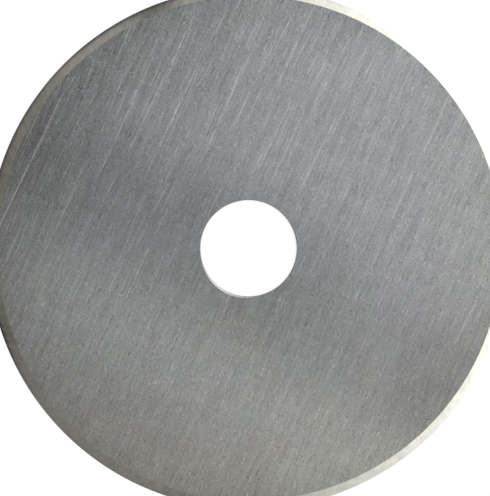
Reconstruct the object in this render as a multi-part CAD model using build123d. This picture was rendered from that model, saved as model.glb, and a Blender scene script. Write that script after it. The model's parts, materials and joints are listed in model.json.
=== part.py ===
from build123d import *
import os
from math import atan2, degrees, radians, tan

# Rotary cutter blade: a thin disc of hardened steel that turns on a boss through its centre hole
# and cuts with the edge ground all round its rim.
#
# The blade lies flat. Z is the axis of the hole, and Z = 0 is the lower flat face. The hole is
# punched, which leaves both of its edges slightly rolled. A deburring cone, held off centre, has
# then taken a crescent off one side of its upper edge. The rim is ground to a bevel on both faces,
# and the outermost part of each bevel is honed at a steeper angle, down to a sharp edge.

# Driving dimensions, in millimetres and degrees
blade_diameter = 45.0     # across the cutting edge
blade_thickness = 0.30    # between the two flat faces
boss_diameter = 8.0       # the boss that the blade turns on
boss_clearance = 0.14     # between the boss and the wall of the hole, all round
roll_width = 0.06         # rolled edge of the hole, measured across the face
roll_depth = 0.03         # rolled edge of the hole, measured into the thickness
chamfer_width = 0.19      # crescent at the hole, measured across the face where it is widest
chamfer_slope = 28.0      # of the crescent from the flat face
chamfer_offset = 0.38     # how far the deburring cone's axis stands off the hole's axis
chamfer_direction = 245.0   # the side that it stands off to, anticlockwise from +X
bevel_width = 0.785       # from the flat face out to the cutting edge
honed_width = 0.20        # outermost part of the bevel, which is honed
honed_angle = 15.0        # slope of the honed part from the plane of the disc
grind_runout = 0.125      # how far the grinding leaves each flat face off the hole's axis
grind_stock = 1.0         # width of the blank that the grinding takes off outside the edge

# Sizes that follow from these
blade_radius = blade_diameter / 2
half_thickness = blade_thickness / 2
hole_radius = boss_diameter / 2 + boss_clearance
mouth_radius = hole_radius + roll_width
wall_half_height = half_thickness - roll_depth
face_radius = blade_radius - bevel_width
honed_radius = blade_radius - honed_width
honed_height = honed_width * tan(radians(honed_angle))
bevel_slope = (half_thickness - honed_height) / (bevel_width - honed_width)
grind_tilt = degrees(atan2(grind_runout * bevel_slope, face_radius))


def punched_blank():
    """Flat disc with its hole, whose edges curve over from each face into the wall."""
    wall_top = (hole_radius, wall_half_height)
    mouth = (mouth_radius, half_thickness)
    blank_radius = blade_radius + grind_stock
    with BuildSketch(Plane.XZ) as section:
        with BuildLine():
            Line((hole_radius, 0), wall_top)
            TangentArc(mouth, wall_top, tangent=(-1, 0))
            Polyline(mouth, (blank_radius, half_thickness), (blank_radius, 0))
            mirror(about=Plane.XZ)
        make_face()
    return revolve(section.sketch, Axis.Z)


def deburring_cone():
    """Space that the deburring cone takes up, from the blade's mid-plane to well above it.

    On the upper face its circle reaches past the hole's wall by the chamfer's width on the side
    that the cone stands off to, and stays inside the hole on the other side.
    """
    circle_radius = hole_radius + chamfer_width - chamfer_offset
    spread = half_thickness / tan(radians(chamfer_slope))
    cone = Cone(circle_radius - spread, circle_radius + spread, blade_thickness)
    return Rotation(0, 0, chamfer_direction) * Pos(chamfer_offset, 0, half_thickness) * cone


def ground_form():
    """Space inside the grinding cones, upper and lower, which meet at the cutting edge.

    The cones turn about an axis that leans a hair from the hole's. The bevel is therefore a
    little narrower at +X on the upper face, and at -X on the lower one.
    """
    cone_tip = honed_height + honed_radius * bevel_slope
    with BuildSketch(Plane.XZ) as section:
        with BuildLine():
            Polyline((0, 0), (0, cone_tip), (honed_radius, honed_height), (blade_radius, 0))
            mirror(about=Plane.XZ)
        make_face()
    return Rotation(0, -grind_tilt, 0) * revolve(section.sketch, Axis.Z)


def blade():
    """The finished blade, resting on its lower face."""
    deburred_blank = punched_blank() - deburring_cone()
    return Pos(0, 0, half_thickness) * (deburred_blank & ground_form())


os.makedirs("parts", exist_ok=True)
export_step(blade(), "parts/blade.step")
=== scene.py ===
import json
from collections import namedtuple
from math import atan2, cos, degrees, pi, radians, sin, tan

import bmesh
import bpy
from bpy.props import FloatProperty, FloatVectorProperty, IntProperty, PointerProperty
from mathutils import Matrix, Vector


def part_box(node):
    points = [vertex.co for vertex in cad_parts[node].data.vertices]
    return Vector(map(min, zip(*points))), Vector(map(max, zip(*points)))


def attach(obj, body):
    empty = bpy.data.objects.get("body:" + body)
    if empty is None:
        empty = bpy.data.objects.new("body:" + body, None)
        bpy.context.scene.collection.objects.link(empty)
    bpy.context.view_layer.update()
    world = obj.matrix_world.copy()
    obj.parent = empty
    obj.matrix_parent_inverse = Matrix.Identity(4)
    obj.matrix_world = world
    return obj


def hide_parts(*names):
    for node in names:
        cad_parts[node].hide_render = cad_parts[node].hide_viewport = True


bl_info = {
    "name": "Rotary Cutter Blade",
    "version": (1, 0, 0),
    "blender": (4, 5, 0),
    "location": "View3D > Sidebar > Blade",
    "description": "Makes a ground steel rotary cutter blade and the plain studio that it lies in",
    "category": "Add Mesh",
}

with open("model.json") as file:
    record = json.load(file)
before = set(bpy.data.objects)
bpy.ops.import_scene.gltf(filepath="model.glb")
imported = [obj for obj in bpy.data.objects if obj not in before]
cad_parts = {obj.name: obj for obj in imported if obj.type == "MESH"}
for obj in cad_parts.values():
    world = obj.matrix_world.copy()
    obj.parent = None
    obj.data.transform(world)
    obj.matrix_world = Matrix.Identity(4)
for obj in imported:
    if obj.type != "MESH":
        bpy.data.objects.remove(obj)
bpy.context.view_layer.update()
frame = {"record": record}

MM = 0.001
BLADE_NODE = "blade"
GRAIN_MAP = "Grain"

blade_lowest, blade_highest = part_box(BLADE_NODE)
mounts = {mount["name"]: mount for mount in frame["record"]["mounts"]}
bore_radius = mounts["bore"]["dims"]["r_mm"] * MM
bore_wall = mounts["bore"]["dims"]["length_mm"] * MM
blade_height = blade_highest.z - blade_lowest.z
rim_reach = min(blade_highest.x, blade_highest.y, -blade_lowest.x, -blade_lowest.y)


class BladeSizes(bpy.types.PropertyGroup):
    """Sizes of the blade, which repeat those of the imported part"""

    rim_radius: FloatProperty(
        name="Rim radius", description="From the hole's axis to the cutting edge",
        default=rim_reach, unit="LENGTH", precision=6)
    thickness: FloatProperty(
        name="Thickness", description="Between the two flat faces",
        default=blade_height, unit="LENGTH", precision=6)
    hole_radius: FloatProperty(
        name="Hole radius", description="To the wall of the hole",
        default=bore_radius, unit="LENGTH", precision=6)
    roll_width: FloatProperty(
        name="Roll width", description="Rolled edge of the hole, across the face",
        default=0.06 * MM, unit="LENGTH", precision=6)
    roll_depth: FloatProperty(
        name="Roll depth", description="Rolled edge of the hole, into the thickness",
        default=(blade_height - bore_wall) / 2, unit="LENGTH", precision=6)
    chamfer_width: FloatProperty(
        name="Crescent width", description="Crescent of chamfer at the hole, where it is widest",
        default=0.19 * MM, unit="LENGTH", precision=6)
    chamfer_slope: FloatProperty(
        name="Crescent slope", description="Slope of the crescent from the flat face",
        default=radians(28), unit="ROTATION")
    chamfer_offset: FloatProperty(
        name="Crescent offset", description="How far the crescent's cone stands off the hole's axis",
        default=0.38 * MM, unit="LENGTH", precision=6)
    chamfer_direction: FloatProperty(
        name="Crescent direction", description="The side of the hole that the crescent is on",
        default=radians(245), unit="ROTATION")
    bevel_width: FloatProperty(
        name="Bevel width", description="From the flat face out to the cutting edge",
        default=0.785 * MM, unit="LENGTH", precision=6)
    honed_width: FloatProperty(
        name="Honed width", description="Outermost part of the bevel, which is honed",
        default=0.20 * MM, unit="LENGTH", precision=6)
    honed_angle: FloatProperty(
        name="Honed angle", description="Slope of the honed part from the plane of the disc",
        default=radians(15), unit="ROTATION")
    honed_round: FloatProperty(
        name="Honed corner", description="How far the corner of the honed band is rounded, each way",
        default=0.14 * MM, unit="LENGTH", precision=6)
    grind_runout: FloatProperty(
        name="Grind runout", description="How far the grinding leaves each flat face off the hole's axis",
        default=0.125 * MM, unit="LENGTH", precision=6)
    turn_steps: IntProperty(
        name="Turn steps", description="Steps of the full turn that sweeps the section round",
        default=720, min=90)


class SteelFinish(bpy.types.PropertyGroup):
    """Colours and finish of the blade's surfaces"""

    face_color: FloatVectorProperty(
        name="Face colour", description="Steel of the flat faces",
        default=(0.419, 0.433, 0.446), subtype="COLOR", min=0, max=1)
    # The next two colours are a painted warm tint that stands in for warm light reflected onto the faces
    # from below
    warm_reflection_color: FloatVectorProperty(
        name="Tarnish", description="Steel of the flat faces where it has yellowed a little",
        default=(0.419, 0.4335, 0.420), subtype="COLOR", min=0, max=1)
    warmest_reflection_color: FloatVectorProperty(
        name="Straw tarnish", description="Steel of the flat faces where it has yellowed most",
        default=(0.452, 0.433, 0.398), subtype="COLOR", min=0, max=1)
    bevel_color: FloatVectorProperty(
        name="Bevel colour", description="Steel of the main bevels, a little warmer",
        default=(0.588, 0.580, 0.525), subtype="COLOR", min=0, max=1)
    honed_color: FloatVectorProperty(
        name="Honed colour", description="Steel of the honed bands at the cutting edge",
        default=(0.575, 0.572, 0.543), subtype="COLOR", min=0, max=1)
    hole_color: FloatVectorProperty(
        name="Hole colour", description="Steel of the hole's wall and rolled edges, dulled by the punch",
        default=(0.34, 0.34, 0.335), subtype="COLOR", min=0, max=1)
    crescent_color: FloatVectorProperty(
        name="Crescent colour", description="Steel where the deburring cone has cut the hole's edge",
        default=(0.37, 0.37, 0.365), subtype="COLOR", min=0, max=1)
    face_roughness: FloatProperty(
        name="Face roughness", description="Of the flat faces, between their scratches",
        default=0.193, subtype="FACTOR", min=0, max=1)
    bevel_roughness: FloatProperty(
        name="Bevel roughness", description="Of the main bevels",
        default=0.20, subtype="FACTOR", min=0, max=1)
    honed_roughness: FloatProperty(
        name="Honed roughness", description="Of the honed bands",
        default=0.16, subtype="FACTOR", min=0, max=1)
    hole_roughness: FloatProperty(
        name="Hole roughness", description="Of the hole's wall and rolled edges",
        default=0.40, subtype="FACTOR", min=0, max=1)
    crescent_roughness: FloatProperty(
        name="Crescent roughness", description="Of the crescent at the hole",
        default=0.30, subtype="FACTOR", min=0, max=1)
    grain_direction: FloatProperty(
        name="Grain direction", description="Direction of the grinding grain on the faces",
        default=radians(63), unit="ROTATION")


class StudioLight(bpy.types.PropertyGroup):
    """Camera, floor and light of the plain studio"""

    camera_height: FloatProperty(
        name="Camera height", description="Of the camera above the cutting edge",
        default=118.75 * MM, unit="LENGTH")
    camera_aim: FloatVectorProperty(
        name="Camera aim", description="The point of the blade that is straight under the camera",
        default=(-0.309 * MM, 0.022 * MM), size=2, subtype="XYZ", unit="LENGTH", precision=6)
    camera_lens: FloatProperty(
        name="Lens", description="Focal length, in millimetres, for a 36 mm sensor",
        default=100)
    floor_width: FloatProperty(
        name="Floor width", description="Side of the square floor",
        default=3, unit="LENGTH")
    floor_color: FloatVectorProperty(
        name="Floor colour", description="Share of the light that the floor scatters",
        default=(0.32, 0.32, 0.32), subtype="COLOR", min=0, max=1)
    floor_glow: FloatProperty(
        name="Floor glow", description="What brings the floor up to white for the camera and in gloss",
        default=0.78)
    box_direction: FloatProperty(
        name="Soft box direction", description="The side that the wide soft box stands on",
        default=radians(15), unit="ROTATION")


class Sheet:
    """One material's nodes: makes them, sets their inputs, and wires them"""

    def __init__(self, tree):
        self.tree = tree
        self.tree.nodes.clear()

    def node(self, kind, inputs=None, **settings):
        """Adds a node. Inputs are keyed by name or place, and are sockets to wire or values to set."""
        made = self.tree.nodes.new(kind)
        for name, value in settings.items():
            setattr(made, name, value)
        for key, value in (inputs or {}).items():
            self.feed(made.inputs[key], value)
        return made

    def feed(self, socket, value):
        """Wires a socket to an input, or sets the input's own value."""
        if isinstance(value, bpy.types.NodeSocket):
            self.tree.links.new(value, socket)
        else:
            socket.default_value = value

    def maths(self, operation, *values):
        """Result of a Math node."""
        return self.node("ShaderNodeMath", dict(enumerate(values)), operation=operation).outputs[0]

    def vector_maths(self, operation, output, *values):
        """Result of a Vector Math node, from the named output."""
        made = self.node("ShaderNodeVectorMath", dict(enumerate(values)), operation=operation)
        return made.outputs[output]

    def scaled(self, vector, factor):
        """Vector or colour times a factor."""
        made = self.node("ShaderNodeVectorMath", {0: vector, "Scale": factor}, operation="SCALE")
        return made.outputs[0]

    def ramp(self, value, start, end, low=0.0, high=1.0):
        """Value taken from start to end in a smooth step between low and high."""
        made = self.node(
            "ShaderNodeMapRange",
            {"Value": value, "From Min": start, "From Max": end, "To Min": low, "To Max": high},
            interpolation_type="SMOOTHSTEP")
        return made.outputs["Result"]

    def line(self, value, start, end, low=0.0, high=1.0):
        """Value taken from start to end in a straight line between low and high."""
        made = self.node(
            "ShaderNodeMapRange",
            {"Value": value, "From Min": start, "From Max": end, "To Min": low, "To Max": high})
        return made.outputs["Result"]

    def mix_color(self, share, first, second):
        """Colour between first and second."""
        share_socket, first_socket, second_socket, mixed_socket = 0, 6, 7, 2
        made = self.node(
            "ShaderNodeMix", {share_socket: share, first_socket: first, second_socket: second},
            data_type="RGBA")
        return made.outputs[mixed_socket]


# How one thing changes along another: low up to the start, and high from the end. A sheet's ramp
# and line take its four numbers
Change = namedtuple("Change", "start end low high")


def new_material(name):
    """An empty node material and its sheet."""
    material = bpy.data.materials.new(name)
    material.use_nodes = True
    return material, Sheet(material.node_tree)


def opaque(color):
    """A colour property as the four numbers that a colour socket takes."""
    return (*color, 1)


# The turned section of the blade

# Rings of the flat face: fine ones where the crescent is cut and a little past it, as a share of
# the way, and then plain ones out to the bevel
FINE_RINGS = 14
FINE_REACH = 1.06
FACE_RINGS = 10

# Where the hole's finish ends, in crescent widths out from its wall, and the lowest that the
# crescent may be, as a share of the thickness
HOLE_REACH = 1.2
CRESCENT_LOWEST = 0.6

# How near counts as merged, and as on a ring, a flat face, the deburring cone and the cutting edge
MERGED = 0.0001 * MM
ON_RING = 0.001 * MM
ON_FACE = 0.0005 * MM
ON_CONE = 0.004 * MM
ON_EDGE = 0.01 * MM


def roll_points(sizes, steps=4):
    """The upper rolled edge, from the top of the hole's wall out to the flat face: (radius, height)."""
    reach, drop = sizes.roll_width, sizes.roll_depth
    radius = (reach ** 2 + drop ** 2) / (2 * drop)
    sweep = atan2(reach, radius - drop)
    mouth = sizes.hole_radius + reach
    turns = [sweep * (1 - step / steps) for step in range(steps + 1)]
    return [(mouth - radius * sin(turn), sizes.thickness - radius * (1 - cos(turn))) for turn in turns]


def upper_section(sizes):
    """The upper half of the section, from the wall of the hole to the honed band's inner edge."""
    mouth = sizes.hole_radius + sizes.roll_width
    crescent_reach = sizes.hole_radius + sizes.chamfer_width
    face_radius = sizes.rim_radius - sizes.bevel_width
    honed_radius = sizes.rim_radius - sizes.honed_width
    honed_height = sizes.thickness / 2 + sizes.honed_width * tan(sizes.honed_angle)
    fine_step = FINE_REACH * (crescent_reach - mouth) / FINE_RINGS
    inner = mouth + FINE_RINGS * fine_step
    points = roll_points(sizes)
    points += [(mouth + ring * fine_step, sizes.thickness) for ring in range(1, FINE_RINGS + 1)]
    points += [
        (inner + (face_radius - inner) * ring / FACE_RINGS, sizes.thickness)
        for ring in range(1, FACE_RINGS + 1)]
    points.append((honed_radius, honed_height))
    return points


def section_points(sizes):
    """The whole closed section: up the wall of the hole, out over the top and back underneath."""
    upper = upper_section(sizes)
    lower = [(radius, sizes.thickness - height) for radius, height in reversed(upper)]
    middle = sizes.thickness / 2
    return [(sizes.hole_radius, middle), *upper, (sizes.rim_radius, middle), *lower]


def turned_blank(sizes):
    """A bmesh of the section turned once round the hole's axis."""
    mesh = bmesh.new()
    corners = [mesh.verts.new((radius, 0, height)) for radius, height in section_points(sizes)]
    for number, corner in enumerate(corners):
        mesh.edges.new((corner, corners[number - 1]))
    bmesh.ops.spin(
        mesh, geom=mesh.verts[:] + mesh.edges[:], cent=(0, 0, 0), axis=(0, 0, 1),
        angle=2 * pi, steps=sizes.turn_steps, use_merge=True)
    bmesh.ops.remove_doubles(mesh, verts=mesh.verts[:], dist=MERGED)
    return mesh


def ring_of(mesh, radius, height):
    """The vertices of the turned ring at that radius and height."""
    return [
        corner for corner in mesh.verts
        if abs(corner.co.xy.length - radius) < ON_RING and abs(corner.co.z - height) < ON_RING]


def lean_the_grinding(mesh, sizes):
    """Moves the bevels as the grinding left them, a hair off the hole's axis."""
    middle = sizes.thickness / 2
    face_radius = sizes.rim_radius - sizes.bevel_width
    honed_radius = sizes.rim_radius - sizes.honed_width
    honed_rise = sizes.honed_width * tan(sizes.honed_angle)
    bevel_slope = (middle - honed_rise) / (sizes.bevel_width - sizes.honed_width)
    lean = atan2(sizes.grind_runout * bevel_slope, face_radius)
    honed = ring_of(mesh, honed_radius, middle + honed_rise)
    honed += ring_of(mesh, honed_radius, middle - honed_rise)
    rim = ring_of(mesh, sizes.rim_radius, middle) + honed
    upper_edge = ring_of(mesh, face_radius, sizes.thickness)
    lower_edge = ring_of(mesh, face_radius, 0)
    bmesh.ops.translate(mesh, verts=upper_edge, vec=(sizes.grind_runout, 0, 0))
    bmesh.ops.translate(mesh, verts=lower_edge, vec=(-sizes.grind_runout, 0, 0))
    bmesh.ops.rotate(mesh, verts=rim, cent=(0, 0, middle), matrix=Matrix.Rotation(-lean, 3, "Y"))
    honed = set(honed)
    bmesh.ops.bevel(
        mesh, geom=[edge for edge in mesh.edges if honed.issuperset(edge.verts)],
        offset=sizes.honed_round, offset_type="OFFSET", segments=3, profile=0.5, affect="EDGES",
        material=-1)


def cone_height(place, sizes):
    """Height of the deburring cone's surface over a place on the blade."""
    axis = Vector((cos(sizes.chamfer_direction), sin(sizes.chamfer_direction))) * sizes.chamfer_offset
    circle_radius = sizes.hole_radius + sizes.chamfer_width - sizes.chamfer_offset
    outside = (place.xy - axis).length - circle_radius
    return sizes.thickness + outside * tan(sizes.chamfer_slope)


def beside_the_hole(place, sizes):
    """Whether a place is near enough to the hole to have its finish."""
    return place.xy.length < sizes.hole_radius + HOLE_REACH * sizes.chamfer_width


def cut_the_crescent(mesh, sizes):
    """Lowers the hole's upper edge onto the deburring cone on the side that the cone reaches."""
    for corner in mesh.verts:
        if corner.co.z > CRESCENT_LOWEST * sizes.thickness and beside_the_hole(corner.co, sizes):
            corner.co.z = min(corner.co.z, cone_height(corner.co, sizes))


FACE, BEVEL, HONED, HOLE, CRESCENT = range(5)


def part_of(side, sizes):
    """Which of the blade's five finishes a mesh face has."""
    place = side.calc_center_median()
    flat = min(place.z, sizes.thickness - place.z) < ON_FACE
    if flat:
        return FACE
    if beside_the_hole(place, sizes):
        high = place.z > CRESCENT_LOWEST * sizes.thickness
        return CRESCENT if high and place.z > cone_height(place, sizes) - ON_CONE else HOLE
    return HONED if place.xy.length > sizes.rim_radius - sizes.honed_width else BEVEL


def finish_the_mesh(mesh, sizes, grain_direction):
    """Names each face's finish, keeps the ground corners sharp, and lays the grain map."""
    grain = mesh.loops.layers.uv.new(GRAIN_MAP)
    across = Vector((-sin(grain_direction), cos(grain_direction)))
    along = Vector((cos(grain_direction), sin(grain_direction)))
    bmesh.ops.recalc_face_normals(mesh, faces=mesh.faces[:])
    for side in mesh.faces:
        side.smooth = True
        side.material_index = part_of(side, sizes)
        middle = side.calc_center_median().xy.normalized()
        for loop in side.loops:
            place = loop.vert.co.xy
            if side.material_index == FACE:
                loop[grain].uv = (place.dot(across), place.dot(along))
            else:
                turned = middle.angle_signed(place)
                loop[grain].uv = (-turned * place.length, place.length + loop.vert.co.z)
    for edge in mesh.edges:
        kinds = {side.material_index for side in edge.link_faces}
        radius = min(corner.co.xy.length for corner in edge.verts)
        at_edge = kinds == {HONED} and radius > sizes.rim_radius - ON_EDGE
        edge.smooth = not at_edge and (len(kinds) == 1 or kinds in ({FACE, HOLE}, {BEVEL, HONED}))


# Steel

def in_millimetres(sheet):
    """Object coordinates in millimetres."""
    return sheet.scaled(sheet.node("ShaderNodeTexCoord").outputs["Object"], 1 / MM)


def how_far(sheet, place, direction):
    """Place measured along a direction, which is a vector."""
    return sheet.vector_maths("DOT_PRODUCT", "Value", place, direction)


def laid_along(sheet, place, direction, length, width, start=(0, 0, 0)):
    """Place measured in lengths along a direction, which is an angle, and across it in widths."""
    return sheet.node(
        "ShaderNodeMapping",
        {"Vector": place, "Location": start, "Rotation": (0, 0, direction), "Scale": (length, width, 1)},
        vector_type="TEXTURE").outputs[0]


def soft_noise(sheet, place, detail=0.0, dimensions="2D"):
    """Noise about zero, roughly between -0.5 and 0.5, with one bump to a unit of place."""
    noise = sheet.node(
        "ShaderNodeTexNoise", {"Vector": place, "Scale": 1.0, "Detail": detail},
        noise_dimensions=dimensions)
    return sheet.maths("SUBTRACT", noise.outputs[0], 0.5)


Grain = namedtuple("Grain", "turn length width strength")

# How far apart the noises of two rows start, of the grain's and of the dashes'
GRAIN_APART = (3.7, 5.3)
DASHES_APART = (4.1, 6.7)

# Soft streaks of the grinding grain. Each row: turn from the grain's direction in degrees, length
# and width of one streak in millimetres, and how much it changes the tone
EVEN_GRAIN = (
    Grain(0, 0.12, 0.12, 0.12),
    Grain(4, 0.26, 0.20, 0.23),
    Grain(6, 1.0, 0.19, 0.10),
)
COARSE_GRAIN = (
    Grain(6, 2.4, 0.30, 0.10),
    Grain(1, 6.0, 0.30, 0.15),
    Grain(3, 9.0, 0.70, 0.11),
    Grain(0, 1.8, 1.1, 0.09),
)


def grain_of(sheet, place, direction, rows, seed):
    """Sum of the rows' streaks, about zero."""
    total = 0.0
    for number, row in enumerate(rows, seed):
        laid = laid_along(
            sheet, place, direction + radians(row.turn), row.length, row.width,
            (number * GRAIN_APART[0], number * GRAIN_APART[1], 0))
        total = sheet.maths("MULTIPLY_ADD", soft_noise(sheet, laid), row.strength, total)
    return total


Dash = namedtuple("Dash", "turn length width reach strength")

# Dashes that the wheel's grit has cut, one to a cell. Each row: turn from the grain's direction in
# degrees, length and width of a cell in millimetres, how far a dash reaches from the middle of its
# cell, as a share of both, and how bright it may be
FINE_DASHES = (
    Dash(5, 2.6, 0.20, 0.32, 0.26),
    Dash(-3, 1.8, 0.20, 0.32, 0.23),
    Dash(11, 1.8, 0.20, 0.32, 0.22),
    Dash(2, 1.0, 0.17, 0.36, 0.24),
    Dash(16, 0.9, 0.17, 0.36, 0.20),
    Dash(-12, 0.9, 0.17, 0.36, 0.18),
)
LONG_DASHES = (
    Dash(2, 28.0, 0.50, 0.12, 0.60),
    Dash(4, 20.0, 0.40, 0.14, 0.55),
    Dash(0, 20.0, 0.40, 0.14, 0.55),
    Dash(7, 14.0, 0.36, 0.15, 0.50),
    Dash(-3, 14.0, 0.36, 0.15, 0.50),
    Dash(2, 9.0, 0.30, 0.16, 0.42),
)


def dashes_of(sheet, place, direction, rows, seed, darkest):
    """Sum of the rows' dashes. Each has its own tone, and few are strong."""
    total = 0.0
    for number, row in enumerate(rows, seed):
        laid = laid_along(
            sheet, place, direction + radians(row.turn), row.length, row.width,
            (number * DASHES_APART[0], number * DASHES_APART[1], 0))
        cells = sheet.node("ShaderNodeTexVoronoi", {"Vector": laid, "Scale": 1.0}, voronoi_dimensions="2D")
        dash = sheet.ramp(cells.outputs["Distance"], 0, row.reach, row.strength, 0)
        chance = sheet.node("ShaderNodeSeparateColor", {0: cells.outputs["Color"]}).outputs[0]
        tone = sheet.line(chance, 0, 1, darkest, 1)
        tone = sheet.maths("MULTIPLY", tone, sheet.maths("ABSOLUTE", tone))
        total = sheet.maths("MULTIPLY_ADD", dash, tone, total)
    return total


Scratch = namedtuple("Scratch", "start end width strength")

# The longest scratches, one by one: both ends and half the width in millimetres, and brightness.
# The ends were read from the photograph, and a search program then moved those of nine
LONG_SCRATCHES = (
    Scratch((-13.3, 5.4), (-7.6, 17.8), 0.13, 0.45),
    Scratch((-10.8, 7.4), (-4.1, 21.2), 0.12, 0.42),
    Scratch((-6.8, 15.5), (-5.1, 19.4), 0.15, 0.30),
    Scratch((-9.4, 5.1), (-4.1, 16.3), 0.12, 0.38),
    Scratch((-4.4, 6.8), (-0.1, 16.3), 0.14, 0.45),
    Scratch((-16.8, 1.2), (-14.1, 7.2), 0.13, 0.38),
    Scratch((2.0, 13.0), (6.2, 22.0), 0.13, 0.42),
    Scratch((0.8, 6.6), (3.9, 13.2), 0.11, 0.62),
    Scratch((1.7, 5.1), (5.2, 12.7), 0.13, 0.32),
    Scratch((7.3, 5.8), (12.2, 16.1), 0.12, 0.21),
    Scratch((3.9, 4.0), (7.8, 11.8), 0.13, 0.36),
    Scratch((12.1, 2.0), (14.3, 6.8), 0.11, 0.42),
    Scratch((14.9, 8.0), (16.8, 11.9), 0.10, 0.34),
    Scratch((-10.7, -4.6), (-8.4, 0.4), 0.12, 0.65),
    Scratch((17.5, -8.7), (19.7, -4.4), 0.10, 0.45),
)

# Where a long scratch rises at its start and fades at its end, as shares of its length
SCRATCH_RISE = Change(0, 0.15, 0, 1)
SCRATCH_FADE = Change(0.85, 1, 1, 0)

# The one scratch that runs unbroken, in from the bevel on the left
DEEPEST_SCRATCH = Scratch((-23.0, -1.3), (-15.6, 14.1), 0.10, 0.70)


def long_scratch(sheet, place, scratch):
    """One straight scratch that fades towards its ends."""
    start, end = Vector(scratch.start), Vector(scratch.end)
    run = end - start
    laid = laid_along(
        sheet, place, atan2(run.y, run.x), run.length, scratch.width, (start.x, start.y, 0))
    parts = sheet.node("ShaderNodeSeparateXYZ", {0: laid})
    side = sheet.maths("ABSOLUTE", parts.outputs["Y"])
    ridge = sheet.ramp(side, 0, 1, scratch.strength, 0)
    along = parts.outputs["X"]
    ends = sheet.maths("MULTIPLY", sheet.ramp(along, *SCRATCH_RISE), sheet.ramp(along, *SCRATCH_FADE))
    return sheet.maths("MULTIPLY", ridge, ends)


SoftPatch = namedtuple("SoftPatch", "x y reach strength")

# Painted shade and painted light: patches that darken or brighten the faces' colour, standing in
# for the broad shading of the lit faces. x, y and reach in millimetres.
# The first five are rounded results of the fit that CARDS names, and the others were set one by one
FACE_PAINTED_SHADING = (
    SoftPatch(-6.5, 22.5, 17.5, -0.13),
    SoftPatch(15.0, -16.0, 13.0, -0.13),
    SoftPatch(-10.5, -6.5, 18.5, 0.13),
    SoftPatch(10.5, -6.0, 9.0, 0.13),
    SoftPatch(-14.0, 18.0, 15.5, -0.13),
    SoftPatch(-1.0, -14.0, 11.0, 0.035),
    SoftPatch(10.0, -12.5, 6.5, 0.06),
    SoftPatch(-8.0, 7.5, 8.0, 0.02),
    SoftPatch(-19.5, 9.5, 6.5, -0.20),
    SoftPatch(9.5, 19.0, 4.5, -0.12),
    SoftPatch(-16.0, 15.5, 6.5, -0.15),
    SoftPatch(-7.0, 20.5, 3.0, -0.10),
    SoftPatch(17.0, 12.5, 5.0, -0.05),
    SoftPatch(-2.0, 22.0, 5.5, -0.10),
    SoftPatch(-22.0, -1.5, 7.0, -0.12),
    SoftPatch(-12.0, 0.5, 6.5, 0.08),
    SoftPatch(-4.0, 4.5, 3.5, -0.07),
    SoftPatch(22.0, -5.5, 4.0, -0.13),
    SoftPatch(5.0, 21.0, 6.0, -0.10),
    SoftPatch(0.0, -22.0, 4.5, -0.10),
    SoftPatch(-10.5, 18.5, 4.0, -0.08),
)

# Patches where the faces' painted warm tint of reflected light is stronger, or weaker where the strength
# is below zero
WARM_REFLECTION_PATCHES = (
    SoftPatch(-19.5, 2.0, 11.0, 0.65),
    SoftPatch(-13.0, 17.5, 6.0, 0.6),
    SoftPatch(21.5, -2.0, 9.0, 0.45),
    SoftPatch(10.0, -19.0, 9.0, -0.35),
    SoftPatch(19.0, 5.5, 9.5, 0.5),
    SoftPatch(-2.0, -5.5, 6.0, 0.45),
    SoftPatch(-14.0, 1.0, 6.0, -0.35),
    SoftPatch(-18.5, 10.5, 5.0, 0.35),
    SoftPatch(5.5, -20.5, 6.0, -0.5),
)

# Patches of the faces' painted cast, which stands in for coloured reflections: pink where the strength is
# above zero, and green below it
CAST_PATCHES = (
    SoftPatch(15.5, -6.5, 10.0, 0.55),
    SoftPatch(5.0, -20.5, 5.5, -0.45),
    SoftPatch(-18.5, 11.5, 5.0, 0.25),
    SoftPatch(-13.0, 0.0, 9.0, -0.30),
    SoftPatch(10.0, -19.0, 9.0, -0.20),
)

# Painted shade and painted light: patches that darken or brighten the bevels' and honed bands'
# colour, standing in for the shading of the lit rim
RIM_PAINTED_SHADING = (
    SoftPatch(-5.3, 21.4, 2.4, 0.20),
    SoftPatch(-8.1, 20.6, 2.6, -0.30),
    SoftPatch(-11.5, 18.8, 2.6, 0.09),
    SoftPatch(-17.6, 13.3, 5.0, -0.14),
    SoftPatch(-21.0, -6.8, 3.5, -0.11),
    SoftPatch(-16.7, -14.5, 3.0, 0.08),
    SoftPatch(-5.7, -21.3, 3.0, -0.09),
    SoftPatch(17.5, 13.4, 13.0, 0.13),
)


def with_patches(sheet, place, value, patches):
    """Value with the patches added, each strongest in its middle and gone at its reach."""
    for patch in patches:
        away = sheet.vector_maths("DISTANCE", "Value", place, (patch.x, patch.y, 0))
        value = sheet.maths("ADD", value, sheet.ramp(away, 0, patch.reach, patch.strength, 0))
    return value


# Directions over the faces: up, to the right, and to the lower left side, away from the soft box,
# where painted shade darkens the faces' edge
UP_THE_FACE = (-0.35, 0.94, 0)
ACROSS_THE_FACE = (0.94, 0.34, 0)
TO_THE_SHADED_SIDE = (-0.74, -0.67, 0)

# Strength of the fine grain by the value of a noise, and of the longest scratches by another's
GRAIN_UNEVEN = Change(-0.2, 0.2, 0.54, 1.5)
SCRATCHES_BROKEN = Change(-0.25, 0.2, 0.25, 0.95)

# Strength of the grain and the scratches over the faces. Starts and ends are in millimetres along
# a direction
GRAIN_LOW_DOWN = Change(-14, -4, 0.90, 1.08)
GRAIN_HIGH_UP = Change(-8, 6, 1.0, 0.95)
GRAIN_ACROSS = Change(-14, 14, 1.04, 0.87)
COARSE_GRAIN_UPWARD = Change(-14, 14, 0.95, 1.2)
SCRATCHES_UPWARD = Change(-12, 17, 0.4, 1.2)

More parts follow.
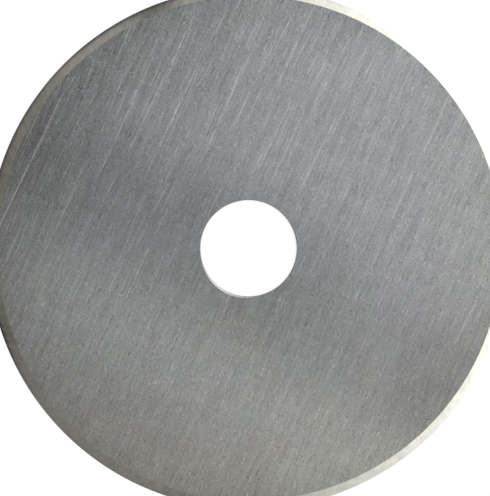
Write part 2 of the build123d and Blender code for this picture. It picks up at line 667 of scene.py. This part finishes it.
# Painted shade at the faces' edge on the side away from the soft box: what it takes from the tone,
# by millimetres from the middle, and the share of it by millimetres towards the shaded side
PAINTED_EDGE_SHADE = Change(19.5, 21.8, 0, 0.10)
PAINTED_SHADE_SIDE = Change(5, 17, 0.3, 1)

SPECK_STRENGTH = 1.5
FACE_ANISOTROPY = 0.95
SCRATCH_ROUGHNESS = 0.03
WEAR_ROUGHNESS = 0.04

# How far the faces' painted warm tint of reflected light goes: 1 is the first warm colour, and 2 the
# warmest. Starts and ends are millimetres up the face or from the middle
WARM_REFLECTION_DOWNWARD = Change(1, -21, 0, 2)
WARM_REFLECTION_AT_RIM = Change(14, 22, -0.03, 0.27)
MOTTLE_AT_RIM = Change(19, 21.7, 0, 2.0)
WARM_REFLECTION_CLOUDS = 1.2

# The faces' painted cast of coloured reflections, from the greenest to the pinkest, and the noise values
# that give them
CAST_SPREAD = Change(-0.4, 0.4, 0, 1)
GREEN_CAST = (0.982, 1.010, 0.985, 1)
PINK_CAST = (1.013, 0.992, 1.018, 1)


def face_grain(sheet, place, direction):
    """Grain of the flat faces, about zero: specks, streaks and dashes, and coarser streaks."""
    upward = how_far(sheet, place, UP_THE_FACE)
    sideways = how_far(sheet, place, ACROSS_THE_FACE)
    uneven = soft_noise(
        sheet, laid_along(sheet, place, direction, length=0.7, width=0.5, start=(3, 9, 0)))
    strength = sheet.line(uneven, *GRAIN_UNEVEN)
    strength = sheet.maths("MULTIPLY", strength, sheet.ramp(upward, *GRAIN_LOW_DOWN))
    strength = sheet.maths("MULTIPLY", strength, sheet.ramp(upward, *GRAIN_HIGH_UP))
    strength = sheet.maths("MULTIPLY", strength, sheet.ramp(sideways, *GRAIN_ACROSS))
    specks = soft_noise(
        sheet, laid_along(sheet, place, direction, length=0.15, width=0.11, start=(7, 2, 0)))
    specks = sheet.maths("MULTIPLY", specks, sheet.maths("ABSOLUTE", specks))
    fine = grain_of(sheet, place, direction, EVEN_GRAIN, seed=1)
    fine = sheet.maths("MULTIPLY_ADD", specks, SPECK_STRENGTH, fine)
    dashes = dashes_of(sheet, place, direction, FINE_DASHES, seed=1, darkest=-0.95)
    fine = sheet.maths("MULTIPLY", sheet.maths("ADD", fine, dashes), strength)
    coarse = grain_of(sheet, place, direction, COARSE_GRAIN, seed=11)
    return sheet.maths("MULTIPLY_ADD", coarse, sheet.ramp(upward, *COARSE_GRAIN_UPWARD), fine)


def face_scratches(sheet, place, direction):
    """Scratches of the flat faces: scattered ones, and the longest one by one."""
    upward = how_far(sheet, place, UP_THE_FACE)
    scratches = dashes_of(sheet, place, direction, LONG_DASHES, seed=11, darkest=-0.5)
    scratches = sheet.maths("MULTIPLY", scratches, sheet.ramp(upward, *SCRATCHES_UPWARD))
    broken = soft_noise(sheet, laid_along(sheet, place, direction, length=0.7, width=0.3))
    broken = sheet.line(broken, *SCRATCHES_BROKEN)
    longest = 0.0
    for scratch in LONG_SCRATCHES:
        longest = sheet.maths("ADD", longest, long_scratch(sheet, place, scratch))
    scratches = sheet.maths("MULTIPLY_ADD", longest, broken, scratches)
    return sheet.maths("ADD", scratches, long_scratch(sheet, place, DEEPEST_SCRATCH))


def face_tone(sheet, place, grain, scratches):
    """How bright the flat faces' steel is, about one, with painted shade and light in broad patches and a
    painted shade along the edge on the lower left.
    """
    tone = sheet.maths("ADD", scratches, sheet.maths("ADD", grain, 1.0))
    # Painted shade and painted light: broad patches that darken or brighten the faces' colour
    tone = with_patches(sheet, place, tone, FACE_PAINTED_SHADING)
    # Painted shade along the faces' edge on the lower left, the side away from the soft box
    from_middle = sheet.vector_maths("LENGTH", "Value", place)
    toward_shade = how_far(sheet, place, TO_THE_SHADED_SIDE)
    painted_rim_shade = sheet.maths(
        "MULTIPLY", sheet.ramp(from_middle, *PAINTED_EDGE_SHADE), sheet.ramp(toward_shade, *PAINTED_SHADE_SIDE))
    return sheet.maths("SUBTRACT", tone, painted_rim_shade)


def mottle_of(sheet, place):
    """Small mottles that the faces have near the rim, and the bevels all over."""
    laid = laid_along(sheet, place, direction=0.9, length=0.8, width=0.8, start=(3, 8, 0))
    return soft_noise(sheet, laid, detail=2.0)


def face_tint(sheet, place, finish):
    """Colour of the flat faces' steel, with a painted tint that stands in for coloured reflections: warmer
    towards the bottom and the rim, and a pink or green cast in places.
    """
    height = how_far(sheet, place, (0, 1, 0))
    from_middle = sheet.vector_maths("LENGTH", "Value", place)
    # Painted warm tint of reflected light: warmer in clouds, towards the bottom, towards the rim and in
    # patches
    clouds = soft_noise(
        sheet, laid_along(sheet, place, direction=0.4, length=2.6, width=2.0, start=(31, 17, 0)),
        detail=1.0)
    reflected_warmth = sheet.maths(
        "MULTIPLY_ADD", clouds, WARM_REFLECTION_CLOUDS, sheet.line(height, *WARM_REFLECTION_DOWNWARD))
    reflected_warmth = sheet.maths("ADD", reflected_warmth, sheet.ramp(from_middle, *WARM_REFLECTION_AT_RIM))
    reflected_warmth = with_patches(sheet, place, reflected_warmth, WARM_REFLECTION_PATCHES)
    reflected_warmth = sheet.maths(
        "MULTIPLY_ADD", mottle_of(sheet, place), sheet.ramp(from_middle, *MOTTLE_AT_RIM), reflected_warmth)
    color = sheet.mix_color(
        sheet.line(reflected_warmth, 0, 1), opaque(finish.face_color), opaque(finish.warm_reflection_color))
    color = sheet.mix_color(sheet.line(reflected_warmth, 1, 2), color, opaque(finish.warmest_reflection_color))
    # Painted cast of coloured reflections, pink or green in clouds and patches
    cast = soft_noise(
        sheet, laid_along(sheet, place, direction=1.1, length=2.2, width=1.8, start=(5, 41, 0)),
        detail=1.0)
    cast = with_patches(sheet, place, cast, CAST_PATCHES)
    cast = sheet.mix_color(sheet.line(cast, *CAST_SPREAD), GREEN_CAST, PINK_CAST)
    return sheet.vector_maths("MULTIPLY", "Vector", color, cast)


def relief(sheet, height, strength, depth):
    """Normal of a surface with a fine relief, whose depth is in millimetres."""
    made = sheet.node("ShaderNodeBump", {"Strength": strength, "Distance": depth * MM, "Height": height})
    return made.outputs[0]


def lay_steel(sheet, color, roughness, normal, anisotropy=0.0):
    """Ends a material in bright steel. Where it is anisotropic, it follows the grain map."""
    inputs = {"Base Color": color, "Metallic": 1.0, "Roughness": roughness, "Normal": normal}
    if anisotropy:
        tangent = sheet.node("ShaderNodeTangent", direction_type="UV_MAP", uv_map=GRAIN_MAP)
        inputs.update({"Anisotropic": anisotropy, "Tangent": tangent.outputs[0]})
    steel = sheet.node("ShaderNodeBsdfPrincipled", inputs)
    sheet.node("ShaderNodeOutputMaterial", {"Surface": steel.outputs[0]})


def ground_face_steel(finish):
    """Flat faces: bright steel with the straight grain of the surface grinder, and its scratches, with
    painted shade and light and a painted tint of coloured reflections.
    """
    material, sheet = new_material("GroundFaceSteel")
    place = in_millimetres(sheet)
    direction = finish.grain_direction
    grain = face_grain(sheet, place, direction)
    scratches = face_scratches(sheet, place, direction)
    color = sheet.scaled(face_tint(sheet, place, finish), face_tone(sheet, place, grain, scratches))
    worn = soft_noise(sheet, laid_along(sheet, place, direction, length=3.0, width=1.2), detail=1.0)
    roughness = sheet.maths("MULTIPLY_ADD", scratches, SCRATCH_ROUGHNESS, finish.face_roughness)
    roughness = sheet.maths("MULTIPLY_ADD", worn, WEAR_ROUGHNESS, roughness)
    normal = relief(sheet, grain, strength=0.5, depth=0.001)
    lay_steel(sheet, color, roughness, normal, FACE_ANISOTROPY)
    return material


# The bevels' strokes turn this many radians to a millimetre outwards, and their noise is wrapped
# round a circle of this radius in millimetres
RIM_SLANT = 0.030
RIM_WRAP = 22.0

RIM_ANISOTROPY = 0.3
STROKE_ROUGHNESS = 0.10

# The honed band's painted shade line along its inner crease, by millimetres from its middle, and what it
# takes from the tone
HONED_CREASE_SHADE = Change(0.01, 0.05, 0.03, 0)

# The bevels' two casts, and the noise values that give them
RIM_CAST_SPREAD = Change(-0.15, 0.15, 0, 1)
COOL_CAST = (0.98, 1.01, 1.01)
WARM_CAST = (1.02, 0.99, 0.98)


def round_the_rim(sheet, place, slant):
    """Place wrapped round the rim without a seam: turned with the radius by a slant."""
    flat = sheet.node("ShaderNodeVectorMath", {0: place, 1: (1, 1, 0)}, operation="MULTIPLY").outputs[0]
    radius = sheet.vector_maths("LENGTH", "Value", flat)
    rim = sheet.node("ShaderNodeVectorMath", {0: flat}, operation="NORMALIZE").outputs[0]
    turn = sheet.maths("MULTIPLY", radius, slant)
    turned = sheet.node("ShaderNodeVectorRotate", {"Vector": rim, "Angle": turn}, rotation_type="Z_AXIS")
    return turned.outputs[0], radius


def rim_noise(sheet, wrapped, radius, size, length):
    """Noise on the rim, about zero: one bump is size round it and length across it."""
    parts = sheet.node("ShaderNodeSeparateXYZ", {0: wrapped})
    x = sheet.maths("MULTIPLY", parts.outputs["X"], RIM_WRAP / size)
    y = sheet.maths("MULTIPLY", parts.outputs["Y"], RIM_WRAP / size)
    z = sheet.maths("MULTIPLY", radius, 1 / length)
    spot = sheet.node("ShaderNodeCombineXYZ", {0: x, 1: y, 2: z}).outputs[0]
    return soft_noise(sheet, spot, dimensions="3D")


def with_cast(color, cast):
    """A colour property with a cast, as the four numbers that a colour socket takes."""
    return opaque([part * share for part, share in zip(color, cast)])


def rim_steel(name, color, roughness, strokes, mottle, honed_line=None):
    """Steel of the bevels: fine slanted strokes of the wheel, mottled a little along the rim, with painted
    shade and light in patches, and on the honed bands a thin painted shade line at their inner crease.
    """
    material, sheet = new_material(name)
    place = in_millimetres(sheet)
    wrapped, radius = round_the_rim(sheet, place, RIM_SLANT)
    fine = rim_noise(sheet, wrapped, radius, size=0.16, length=1.4)
    broad = rim_noise(sheet, wrapped, radius, size=0.35, length=3.0)
    mottled = mottle_of(sheet, place)
    tone = sheet.maths("MULTIPLY_ADD", fine, strokes, 1.0)
    tone = sheet.maths("MULTIPLY_ADD", broad, strokes, tone)
    tone = sheet.maths("MULTIPLY_ADD", mottled, mottle, tone)
    # Painted shade and painted light in patches round the rim
    tone = with_patches(sheet, place, tone, RIM_PAINTED_SHADING)
    # Painted shade: a thin dark line along the honed band's inner crease
    if honed_line:
        away = sheet.maths("ABSOLUTE", sheet.maths("SUBTRACT", radius, honed_line))
        tone = sheet.maths("SUBTRACT", tone, sheet.ramp(away, *HONED_CREASE_SHADE))
    tinted = sheet.mix_color(
        sheet.line(mottled, *RIM_CAST_SPREAD), with_cast(color, COOL_CAST), with_cast(color, WARM_CAST))
    rough = sheet.maths("MULTIPLY_ADD", fine, STROKE_ROUGHNESS, roughness)
    normal = relief(sheet, tone, strength=0.15, depth=0.002)
    lay_steel(sheet, sheet.scaled(tinted, tone), rough, normal, RIM_ANISOTROPY)
    return material


# Steel round the hole: its plain tone, and what its grit and its rings add to tone and roughness
HOLE_TONE = 0.94
GRIT_SIZE = 0.15
GRIT_TONE = 0.25
RING_TONE = 0.12
GRIT_ROUGHNESS = 0.15


def hole_steel(name, color, roughness, ring_height):
    """Steel round the hole: gritty, with rings round the wall, which the punch or the cone has left."""
    material, sheet = new_material(name)
    place = in_millimetres(sheet)
    grit = soft_noise(
        sheet, laid_along(sheet, place, direction=0, length=GRIT_SIZE, width=GRIT_SIZE), detail=1.0)
    height = sheet.maths("MULTIPLY", how_far(sheet, place, (0, 0, 1)), 1 / ring_height)
    rings = sheet.node(
        "ShaderNodeTexNoise", {"W": height, "Scale": 1.0, "Detail": 1.0}, noise_dimensions="1D")
    tone = sheet.maths("MULTIPLY_ADD", grit, GRIT_TONE, HOLE_TONE)
    tone = sheet.maths("MULTIPLY_ADD", rings.outputs[0], RING_TONE, tone)
    rough = sheet.maths("MULTIPLY_ADD", grit, GRIT_ROUGHNESS, roughness)
    normal = relief(sheet, tone, strength=0.2, depth=0.002)
    lay_steel(sheet, sheet.scaled(tuple(color), tone), rough, normal)
    return material


def blade_steels(sizes, finish):
    """The blade's materials, in the order of FACE, BEVEL, HONED, HOLE and CRESCENT."""
    honed_line = (sizes.rim_radius - sizes.honed_width) / MM
    return (
        ground_face_steel(finish),
        rim_steel(
            "GroundBevelSteel", finish.bevel_color, finish.bevel_roughness, strokes=0.14, mottle=0.35),
        rim_steel(
            "HonedEdgeSteel", finish.honed_color, finish.honed_roughness, strokes=0.08, mottle=0.20,
            honed_line=honed_line),
        hole_steel("PunchedHoleSteel", finish.hole_color, finish.hole_roughness, ring_height=0.02),
        hole_steel("DeburredSteel", finish.crescent_color, finish.crescent_roughness, ring_height=0.01),
    )


# The studio

FLOOR_DROP = 0.005 * MM


def put_camera(studio, sizes):
    """Camera straight above the blade, framed as the photograph is."""
    data = bpy.data.cameras.new("Camera")
    data.lens = studio.camera_lens
    data.clip_start = 0.01
    data.clip_end = 10
    camera = bpy.data.objects.new("Camera", data)
    camera.location = (*studio.camera_aim, sizes.thickness / 2 + studio.camera_height)
    bpy.context.scene.collection.objects.link(camera)
    bpy.context.scene.camera = camera


def seen_directly(sheet):
    """1 for what the camera sees, directly or in gloss or glass, and 0 for other light."""
    path = sheet.node("ShaderNodeLightPath")
    seen = sheet.maths("MAXIMUM", path.outputs["Is Camera Ray"], path.outputs["Is Glossy Ray"])
    return sheet.maths("MAXIMUM", seen, path.outputs["Is Transmission Ray"])


def lay_floor(studio):
    """Plain pale floor just under the blade."""
    mesh = bmesh.new()
    bmesh.ops.create_grid(mesh, x_segments=1, y_segments=1, size=studio.floor_width / 2)
    bmesh.ops.translate(mesh, verts=mesh.verts[:], vec=(0, 0, -FLOOR_DROP))
    data = bpy.data.meshes.new("Floor")
    mesh.to_mesh(data)
    mesh.free()
    floor = bpy.data.objects.new("Floor", data)
    bpy.context.scene.collection.objects.link(floor)
    material, sheet = new_material("PaleFloor")
    scatter = sheet.node("ShaderNodeBsdfDiffuse", {"Color": opaque(studio.floor_color)})
    strength = sheet.maths("MULTIPLY", seen_directly(sheet), studio.floor_glow)
    glow = sheet.node("ShaderNodeEmission", {"Strength": strength})
    both = sheet.node("ShaderNodeAddShader", {0: scatter.outputs[0], 1: glow.outputs[0]})
    sheet.node("ShaderNodeOutputMaterial", {"Surface": both.outputs[0]})
    data.materials.append(material)


SoftCard = namedtuple("SoftCard", "x y inner outer strength")

# Cards that hang round the blade. x and y are in degrees from straight overhead, as are the
# radii within which a card is whole and past which it ends; strength is what it adds to the light.
# The first six are rounded results of a program's least-squares fit to the photograph's broad
# tones, and the others were set one by one
CARDS = (
    SoftCard(-22.5, 23.5, 25.0, 30.0, -0.29),
    SoftCard(-26.5, -33.5, 26.5, 31.0, -0.53),
    SoftCard(68.0, -12.0, 8.0, 13.0, -2.00),
    SoftCard(-66.0, 12.0, 31.0, 50.0, -0.40),
    SoftCard(-14.5, 52.5, 23.0, 29.5, -0.40),
    SoftCard(39.0, 41.0, 11.5, 17.0, 0.90),
    SoftCard(27.5, -30.5, 6.0, 11.0, -0.30),
    SoftCard(12.0, 39.0, 3.5, 8.5, -0.45),
    SoftCard(19.0, -22.5, 3.0, 9.0, 0.08),
    SoftCard(-15.0, 25.5, 3.0, 9.0, 0.06),
    SoftCard(-16.0, -25.0, 6.0, 12.0, 0.02),
    SoftCard(-28.0, -29.5, 6.0, 11.0, -0.03),
)

SoftBar = namedtuple("SoftBar", "along along_inner along_outer across across_inner across_outer strength")

# Dark bars that hang over the blade in line with its grain. Along and across are in degrees from
# straight overhead, as are how far a bar is whole and where it ends; strength is the share of the
# light that it takes away. All three are rounded results of the same fit
BARS = (
    SoftBar(-1.0, 1.0, 5.0, -0.5, 21.0, 30.5, 0.55),
    SoftBar(-9.5, 0.5, 8.0, 6.5, 10.5, 17.5, 0.60),
    SoftBar(10.0, 4.5, 11.5, -11.5, 7.5, 11.5, 0.50),
)

# Light of the dome, towards the soft box, towards the horizon and on the left, where it is a
# little warmer. Starts and ends are in degrees from straight overhead. SOFT_BOX is from the same
# fit, as is the soft box's direction
SOFT_BOX = Change(-3, 26, 0.80, 1.85)
LEAST_LIGHT = 0.03
HORIZON = Change(50, 78, 0, 1)
WARM_SIDE = Change(14, 22, 0, 1)
WARM_LIGHT = (1.06, 1, 0.975, 1)
WHITE = (1, 1, 1, 1)


def from_overhead(sheet):
    """Where a direction lies on the dome: degrees from straight overhead, to the right and up."""
    direction = sheet.node("ShaderNodeTexCoord").outputs["Generated"]
    parts = sheet.node("ShaderNodeSeparateXYZ", {0: direction})
    share = sheet.maths("DIVIDE", degrees(2), sheet.maths("ADD", parts.outputs["Z"], 1.0))
    flat = sheet.node("ShaderNodeCombineXYZ", {0: parts.outputs["X"], 1: parts.outputs["Y"]})
    return sheet.scaled(flat.outputs[0], share)


def with_bars(sheet, dome, light, grain_direction):
    """Light with what the dark bars take away."""
    along = how_far(sheet, dome, (cos(grain_direction), sin(grain_direction), 0))
    across = how_far(sheet, dome, (-sin(grain_direction), cos(grain_direction), 0))
    for bar in BARS:
        length = sheet.maths("ABSOLUTE", sheet.maths("SUBTRACT", along, bar.along))
        width = sheet.maths("ABSOLUTE", sheet.maths("SUBTRACT", across, bar.across))
        taken = sheet.maths(
            "MULTIPLY",
            sheet.ramp(length, bar.along_inner, bar.along_outer, bar.strength, 0),
            sheet.ramp(width, bar.across_inner, bar.across_outer, 1, 0))
        light = sheet.maths("MULTIPLY", light, sheet.maths("SUBTRACT", 1.0, taken))
    return light


def light_the_dome(studio, grain_direction):
    """Soft light from a plain dome: a wide soft box on the right, cards, and a pale horizon."""
    world = bpy.data.worlds.new("StudioDome")
    world.use_nodes = True
    bpy.context.scene.world = world
    sheet = Sheet(world.node_tree)
    dome = from_overhead(sheet)
    to_the_box = (cos(studio.box_direction), sin(studio.box_direction), 0)
    light = sheet.ramp(how_far(sheet, dome, to_the_box), *SOFT_BOX)
    for card in CARDS:
        away = sheet.vector_maths("DISTANCE", "Value", dome, (card.x, card.y, 0))
        light = sheet.maths("ADD", light, sheet.ramp(away, card.inner, card.outer, card.strength, 0))
    light = sheet.maths("MAXIMUM", light, LEAST_LIGHT)
    light = with_bars(sheet, dome, light, grain_direction)
    leftward = how_far(sheet, dome, (-1, 0, 0))
    tint = sheet.mix_color(sheet.ramp(leftward, *WARM_SIDE), WHITE, WARM_LIGHT)
    low = sheet.ramp(sheet.vector_maths("LENGTH", "Value", dome), *HORIZON)
    color = sheet.mix_color(low, sheet.scaled(tint, light), WHITE)
    back = sheet.node("ShaderNodeBackground", {"Color": color, "Strength": 1.0})
    sheet.node("ShaderNodeOutputWorld", {"Surface": back.outputs[0]})


class BLADE_OT_set_stage(bpy.types.Operator):
    """Place the camera, the floor and the light"""

    bl_idname = "rotary_blade.set_stage"
    bl_label = "Set Stage"

    def execute(self, context):
        scene = context.scene
        put_camera(scene.studio_light, scene.blade_sizes)
        lay_floor(scene.studio_light)
        light_the_dome(scene.studio_light, scene.steel_finish.grain_direction)
        scene.view_settings.view_transform = "Standard"
        return {"FINISHED"}


class BLADE_OT_make_blade(bpy.types.Operator):
    """Turn, grind and deburr the blade, and give it its steel"""

    bl_idname = "rotary_blade.make_blade"
    bl_label = "Make Blade"

    def execute(self, context):
        sizes = context.scene.blade_sizes
        finish = context.scene.steel_finish
        mesh = turned_blank(sizes)
        lean_the_grinding(mesh, sizes)
        cut_the_crescent(mesh, sizes)
        finish_the_mesh(mesh, sizes, finish.grain_direction)
        data = bpy.data.meshes.new("GroundBlade")
        mesh.to_mesh(data)
        mesh.free()
        for steel in blade_steels(sizes, finish):
            data.materials.append(steel)
        blade = bpy.data.objects.new("GroundBlade", data)
        context.scene.collection.objects.link(blade)
        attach(blade, "root")
        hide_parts(BLADE_NODE)
        return {"FINISHED"}


class BLADE_PT_sidebar(bpy.types.Panel):
    """Lists the blade's sizes, its finish and the studio"""

    bl_idname = "BLADE_PT_sidebar"
    bl_label = "Rotary Cutter Blade"
    bl_space_type = "VIEW_3D"
    bl_region_type = "UI"
    bl_category = "Blade"

    def draw(self, context):
        scene = context.scene
        for group in (scene.blade_sizes, scene.steel_finish, scene.studio_light):
            box = self.layout.box()
            for name in group.__annotations__:
                box.prop(group, name)
        self.layout.operator(BLADE_OT_set_stage.bl_idname)
        self.layout.operator(BLADE_OT_make_blade.bl_idname)


GROUPS = {"blade_sizes": BladeSizes, "steel_finish": SteelFinish, "studio_light": StudioLight}
CLASSES = (*GROUPS.values(), BLADE_OT_set_stage, BLADE_OT_make_blade, BLADE_PT_sidebar)


def register():
    for kind in CLASSES:
        bpy.utils.register_class(kind)
    for name, kind in GROUPS.items():
        setattr(bpy.types.Scene, name, PointerProperty(type=kind))


def unregister():
    for name in GROUPS:
        delattr(bpy.types.Scene, name)
    for kind in reversed(CLASSES):
        bpy.utils.unregister_class(kind)


def main():
    register()
    bpy.ops.rotary_blade.set_stage()
    bpy.ops.rotary_blade.make_blade()


if __name__ == "__main__":
    main()
